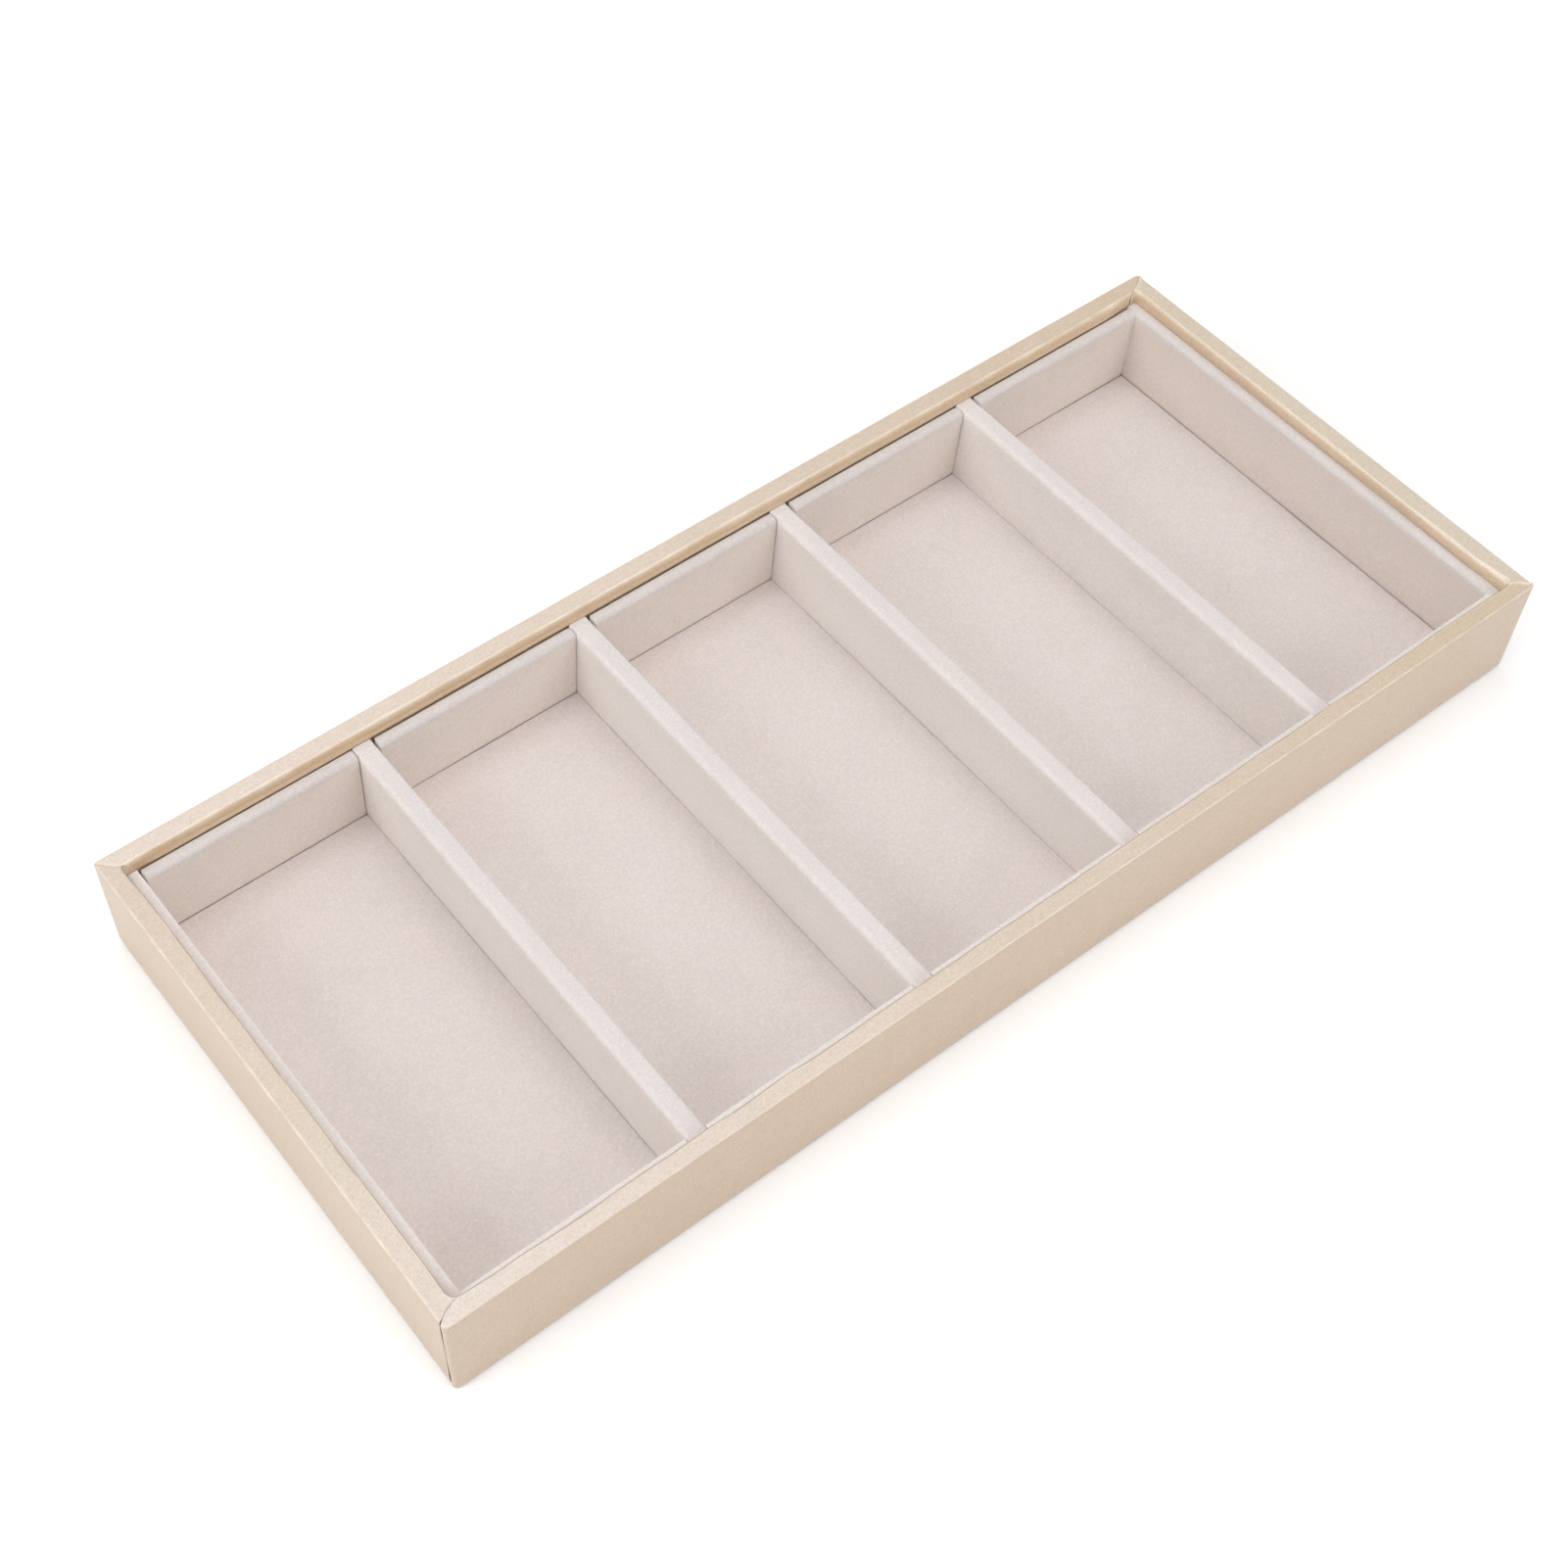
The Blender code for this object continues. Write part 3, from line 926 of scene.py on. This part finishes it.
def wrap_row(bm, layers, side, station):
    """One row of vertices across a wall's sheet, on its outer and on its inner side."""
    end, straight, share = station
    away = END_ZONE * (1 - share) if share else END_ZONE + HALVES[side] * (1 - straight)
    run = end * (HALVES[side] - away)
    corner = corner_at(side, end)
    outer_row, inner_row = [], []
    for section_row in wrap_section(side, corner, run, 1 - smooth_step(away / ROLL_BLEND)):
        place, facing, from_seam = wrap_point(side, end, straight, share, section_row)
        raised = raised_edge(side, end, from_seam, section_row)
        lift = wrap_lift(place, raised * SEAMS[corner]["lift"], section_row)
        # Painted shadow of the seam's gap, on the sheet's last row
        dark = seam_darkness(side, end, section_row[0]) if share == 1 else 0.0
        outer_row.append(bm.verts.new(place + facing * (lift - SEAM_DIP * dark)))
        inner_row.append(bm.verts.new(place + facing * (lift - LEATHER)))
        # Painted highlight, with wear, along a seam's raised edge
        wear_and_highlight = raised * SEAMS[corner]["wear_and_highlight"]
        for name, value in sheet_looks(side, run, facing, wear_and_highlight, section_row).items():
            outer_row[-1][layers[name]] = value
        # The seam's last row takes the painted shadow outside, and the cut edge is painted near-black,
        # as shade in the gap
        if share == 1:
            outer_row[-1][layers["cut"]] = dark
            inner_row[-1][layers["cut"]] = 1.0
    return outer_row, inner_row


def wall_wrap(side, material):
    """Leatherette over one wall, from under the floor over the rim and down the inside."""
    bm = bmesh.new()
    layers = sheet_layers(bm)
    rows = [wrap_row(bm, layers, side, station) for station in wrap_stations(side)]
    close_sheet(bm, *zip(*rows))
    add_piece(f"{side}_leatherette", bm, material, "leatherette", "tray", f"{side}_wrap")


def close_sheet(bm, outer, inner):
    """Faces over both sides of a sheet, given as rows of points, and round its four edges."""
    for rows in (outer, inner):
        for first, second in zip(rows, rows[1:]):
            for index in range(len(first) - 1):
                bm.faces.new((first[index], first[index + 1], second[index + 1], second[index]))
    for index in (0, -1):
        for step in range(len(outer) - 1):
            corners = (outer[step][index], outer[step + 1][index], inner[step + 1][index])
            bm.faces.new((*corners, inner[step][index]))
        for step in range(len(outer[0]) - 1):
            corners = (outer[index][step], outer[index][step + 1], inner[index][step + 1])
            bm.faces.new((*corners, inner[index][step]))


def edge_steps(low, high, edges, closed_low, closed_high):
    """Places along one axis of a soft box: close together round its edges, even between them."""
    turn = [math.tan(math.radians(45) * row / EDGE_ROWS) for row in range(EDGE_ROWS, 0, -1)]
    first = low + (edges[0] if closed_low else 0)
    last = high - (edges[1] if closed_high else 0)
    rows = max(1, round((last - first) / SUEDE_STEP))
    even = [first + (last - first) * row / rows for row in range(rows + 1)]
    if rows > 2:
        even[1:1] = [first + near for near in NEAR_STEPS]
        even[-1:-1] = [last - near for near in reversed(NEAR_STEPS)]
    steps = [first - edges[0] * share for share in turn] if closed_low else []
    steps += even
    steps += [last + edges[1] * share for share in reversed(turn)] if closed_high else []
    if not closed_low:
        steps.insert(1, low + CUT_ROUND)
    if not closed_high:
        steps.insert(len(steps) - 1, high - CUT_ROUND)
    return steps


def edge_radii(place, low, high, edges):
    """Radii of the rounding near a point.

    Without one of its own, the top's radius blends from one long side's to the other's, and both
    tighten towards the two ends.
    """
    share = [(place[axis] - low[axis]) / (high[axis] - low[axis]) for axis in range(3)]
    radii = [edges[axis][0] if share[axis] < 0.5 else edges[axis][1] for axis in range(2)]
    if edges[2][1]:
        return Vector((*radii, edges[2][1]))
    loose = smooth_step(min(place[1] - low[1], high[1] - place[1]) / DIVIDER_TAPER)
    blended = edges[0][0] + (edges[0][1] - edges[0][0]) * smooth_step(share[0])
    across, top = (DIVIDER_TIGHT + (radius - DIVIDER_TIGHT) * loose for radius in (radii[0], blended))
    return Vector((across, radii[1], top))


def soft_box_point(place, low, high, radii, closed):
    """The middle line of the rounding under a point of a box, and the way out of it."""
    core = Vector(place)
    for axis in range(3):
        if closed[axis][0]:
            core[axis] = max(core[axis], low[axis] + radii[axis])
        if closed[axis][1]:
            core[axis] = min(core[axis], high[axis] - radii[axis])
    out = Vector((value / radius for value, radius in zip(Vector(place) - core, radii)))
    size = sum(abs(value) ** EDGE_POWER for value in out) ** (1 / EDGE_POWER)
    return core, out / size


def suede_lift(place):
    """Unevenness of stretched fabric: broad waves and a finer ripple."""
    broad = noise.noise(place * SUEDE_WAVES) * SUEDE_WAVE
    return broad + noise.noise(place * SUEDE_RIPPLES) * SUEDE_RIPPLE


class SoftShell:
    """A fabric cover with rounded edges over a board, open on one side, as a mesh of the sheet.

    Its top leans along the open axis, by one measure at the open side and another at the far one.
    """

    def __init__(self, low, high, edges, open_axis, open_end, lean):
        self.low, self.high, self.edges, self.lean = low, high, edges, lean
        self.open_axis, self.open_end = open_axis, open_end
        self.closed = [[True, True], [True, True], [True, True]]
        self.closed[open_axis][open_end] = False
        widest = (edges[0], edges[1], (max(edges[2]) or max(edges[0]),) * 2)
        spans = zip(low, high, widest, self.closed)
        self.steps = [edge_steps(first, last, edge, *closed) for first, last, edge, closed in spans]
        self.ends = [(0, len(values) - 1) for values in self.steps]
        self.bm = bmesh.new()
        self.edge_layer = self.bm.verts.layers.float.new("edge")
        self.flat_layer = self.bm.verts.layers.float.new("flat")
        self.made = {}
        for axis in range(3):
            for end in (0, 1):
                if self.closed[axis][end]:
                    self.add_side(axis, self.ends[axis][end])
        self.close_cut()

    def add_side(self, axis, level):
        """Faces over one side of the box, outside and inside."""
        across = [other for other in range(3) if other != axis]
        for first in range(self.ends[across[0]][1]):
            for second in range(self.ends[across[1]][1]):
                loop = []
                for shift in ((0, 0), (1, 0), (1, 1), (0, 1)):
                    index = [0, 0, 0]
                    index[axis] = level
                    index[across[0]] = first + shift[0]
                    index[across[1]] = second + shift[1]
                    loop.append(index)
                for side in (0, 1):
                    self.bm.faces.new([self.vertex(index, side) for index in loop])

    def vertex(self, index, side):
        """The vertex at a place of the lattice, on the outer (0) or the inner (1) side."""
        key = (*index, side)
        if key not in self.made:
            place = [steps[step] for steps, step in zip(self.steps, index)]
            radii = edge_radii(place, self.low, self.high, self.edges)
            core, way = soft_box_point(place, self.low, self.high, radii, self.closed)
            at_cut = index[self.open_axis] == self.ends[self.open_axis][self.open_end]
            cut = SUEDE / 2 if at_cut and side == 0 else 0
            reach = suede_lift(core) - cut - side * SUEDE
            out = Vector((share * (radius + reach) for share, radius in zip(way, radii)))
            vert = self.bm.verts.new(core + out)
            vert.co[self.open_axis] += self.tilt(place)
            # The paler edge: rubbed wear and painted highlight
            vert[self.edge_layer] = min(1.0, (1 - max(abs(value) for value in way)) * EDGE_PALE_FADE)
            # How much a point faces up, which picks the top's or the sides' painted light and shade
            vert[self.flat_layer] = smooth_step(way.z)
            self.made[key] = vert
        return self.made[key]

    def tilt(self, place):
        """How far a point leans along the open axis."""
        low, high, axis = self.low, self.high, self.open_axis
        depth = (place[axis] - low[axis]) / (high[axis] - low[axis])
        share = 1 - depth if self.open_end else depth
        near, far = self.lean
        tilt = (near + (far - near) * share) * (place[2] - low.z) / (high.z - low.z)
        return -tilt if self.open_end else tilt

    def close_cut(self):
        """Faces between the outer and inner sides along the cut edge."""
        keys = {vert: key for key, vert in self.made.items()}
        for edge in [edge for edge in self.bm.edges if edge.is_boundary]:
            first, second = (keys[vert] for vert in edge.verts)
            if first[3] == 0:
                partners = (self.made[(*second[:3], 1)], self.made[(*first[:3], 1)])
                self.bm.faces.new((self.made[first], self.made[second], *partners))


def paint_shading(bm, low, high, nap, along):
    """Painted light and shade on a cover at each of its points."""
    axis = nap["axis"]
    first, last, lower, upper = (Vector(painted_light) for painted_light in (*nap["top"], *nap["side"]))
    painted_shading_layer = bm.verts.layers.float_color.new("painted_shading")
    flat_layer = bm.verts.layers.float["flat"]
    for vert in bm.verts:
        top = first.lerp(last, smooth_step((vert.co[axis] - low[axis]) / (high[axis] - low[axis])))
        side = lower.lerp(upper, smooth_step(1 - (high.z - vert.co.z) / PAINTED_SIDE_DEPTH))
        pale = between(along, (vert.co.y - low.y) / (high.y - low.y))
        vert[painted_shading_layer] = (*(side.lerp(top, vert[flat_layer]) * pale), 1)


def suede_cover(name, material, edges, opening, gain, lean=(0.0, 0.0), body="tray"):
    """The microsuede round the board of a liner, floor panel or divider, with gain at its sides."""
    low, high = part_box(f"{name}_cover")
    bm = SoftShell(low - gain[0], high + gain[1], edges, *opening, lean).bm
    kind = name.rstrip("_12345")
    paint_shading(bm, low, high, PAINTED_SHADING[kind], FLOOR_SHADING if kind == "floor_panel" else EVEN_SHADING)
    add_piece(f"{name}_suede", bm, material, "microsuede", body, f"{name}_cover")


def make_lining(material):
    """Microsuede over the liners, the floor panels and the dividers."""
    soft, drop = (LINER_EDGE, LINER_EDGE), (LINER_DROP, LINER_DROP)
    crisp, end = (LINER_CRISP, LINER_CRISP), (LINER_END, LINER_END)
    left_gain = (Vector((-WALL_LOSS, LINER_GAIN, 0)), Vector((0, LINER_GAIN, 0)))
    right_gain = (Vector((0, LINER_GAIN, 0)), Vector((0, LINER_GAIN, 0)))
    suede_cover("left_liner", material, (crisp, end, crisp), (0, 0), left_gain, LEFT_LEAN)
    suede_cover("right_liner", material, (soft, end, drop), (0, 1), right_gain, RIGHT_LEAN)
    back_gain = (Vector((-LINER_LOSS, 0, 0)), Vector((LINER_GAIN, 0, 0)))
    front_gain = (Vector((LINER_GAIN, -WALL_LOSS, 0)), Vector((LINER_GAIN, 0, 0)))
    panel_gain = (Vector((PANEL_GAIN, PANEL_GAIN, 0)), Vector((PANEL_GAIN, PANEL_GAIN, 0)))
    panel_edges = ((PANEL_EDGE, PANEL_EDGE),) * 3
    for number in range(1, COMPARTMENTS + 1):
        back, front = f"back_liner_{number}", f"front_liner_{number}"
        lean = FIRST_LEAN if number == 1 else BACK_LEAN
        suede_cover(back, material, (end, soft, drop), (1, 1), back_gain, lean)
        suede_cover(front, material, (end, crisp, crisp), (1, 0), front_gain, FRONT_LEAN)
        suede_cover(f"floor_panel_{number}", material, panel_edges, (2, 0), panel_gain)
    divider_edges = (DIVIDER_EDGES, (DIVIDER_END, DIVIDER_END), (0, 0))
    for number in range(1, COMPARTMENTS):
        name = f"divider_{number}"
        suede_cover(name, material, divider_edges, (2, 0), (Vector(), Vector()), body=name)


def make_underside(material):
    """The sheet under the tray, flat where it rests, with a soft edge."""
    low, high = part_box("underside_sheet")
    bm = bmesh.new()
    length_rows = round((high.x - low.x) / SUEDE_STEP)
    depth_rows = round((high.y - low.y) / SUEDE_STEP)
    outer, inner = [], []
    for row in range(length_rows + 1):
        x = low.x + (high.x - low.x) * row / length_rows
        outer_row, inner_row = [], []
        for column in range(depth_rows + 1):
            y = low.y + (high.y - low.y) * column / depth_rows
            place = Vector((x, y, 0))
            at_edge = row in (0, length_rows) or column in (0, depth_rows)
            lift = UNDERSIDE_EDGE if at_edge else 0
            wave = UNDERSIDE_WAVE * (1 + noise.noise(place * SUEDE_WAVES))
            outer_row.append(bm.verts.new((x, y, low.z + lift + wave)))
            inner_row.append(bm.verts.new((x, y, high.z - lift / 2)))
        outer.append(outer_row)
        inner.append(inner_row)
    close_sheet(bm, outer, inner)
    add_piece("underside_cloth", bm, material, "underside", "tray", "underside_sheet")


def finish_boards(fibreboard, card):
    """Materials for the boards and cards that stay as CAD nodes."""
    for name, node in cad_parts.items():
        if name.endswith("_board"):
            node.material_slots[0].material = card if name == "floor_board" else fibreboard
        elif name.endswith("_card"):
            node.material_slots[0].material = card


make_camera()
make_world()
make_lamps()
make_floor()

leatherette = leatherette_material()
microsuede = microsuede_material()
fibreboard = board_material("raw_fibreboard")
card = board_material("raw_card")

for side in TURNS:
    wall_wrap(side, leatherette)
make_lining(microsuede)
make_underside(underside_material())
finish_boards(fibreboard, card)

bpy.context.scene.view_settings.view_transform = "Standard"
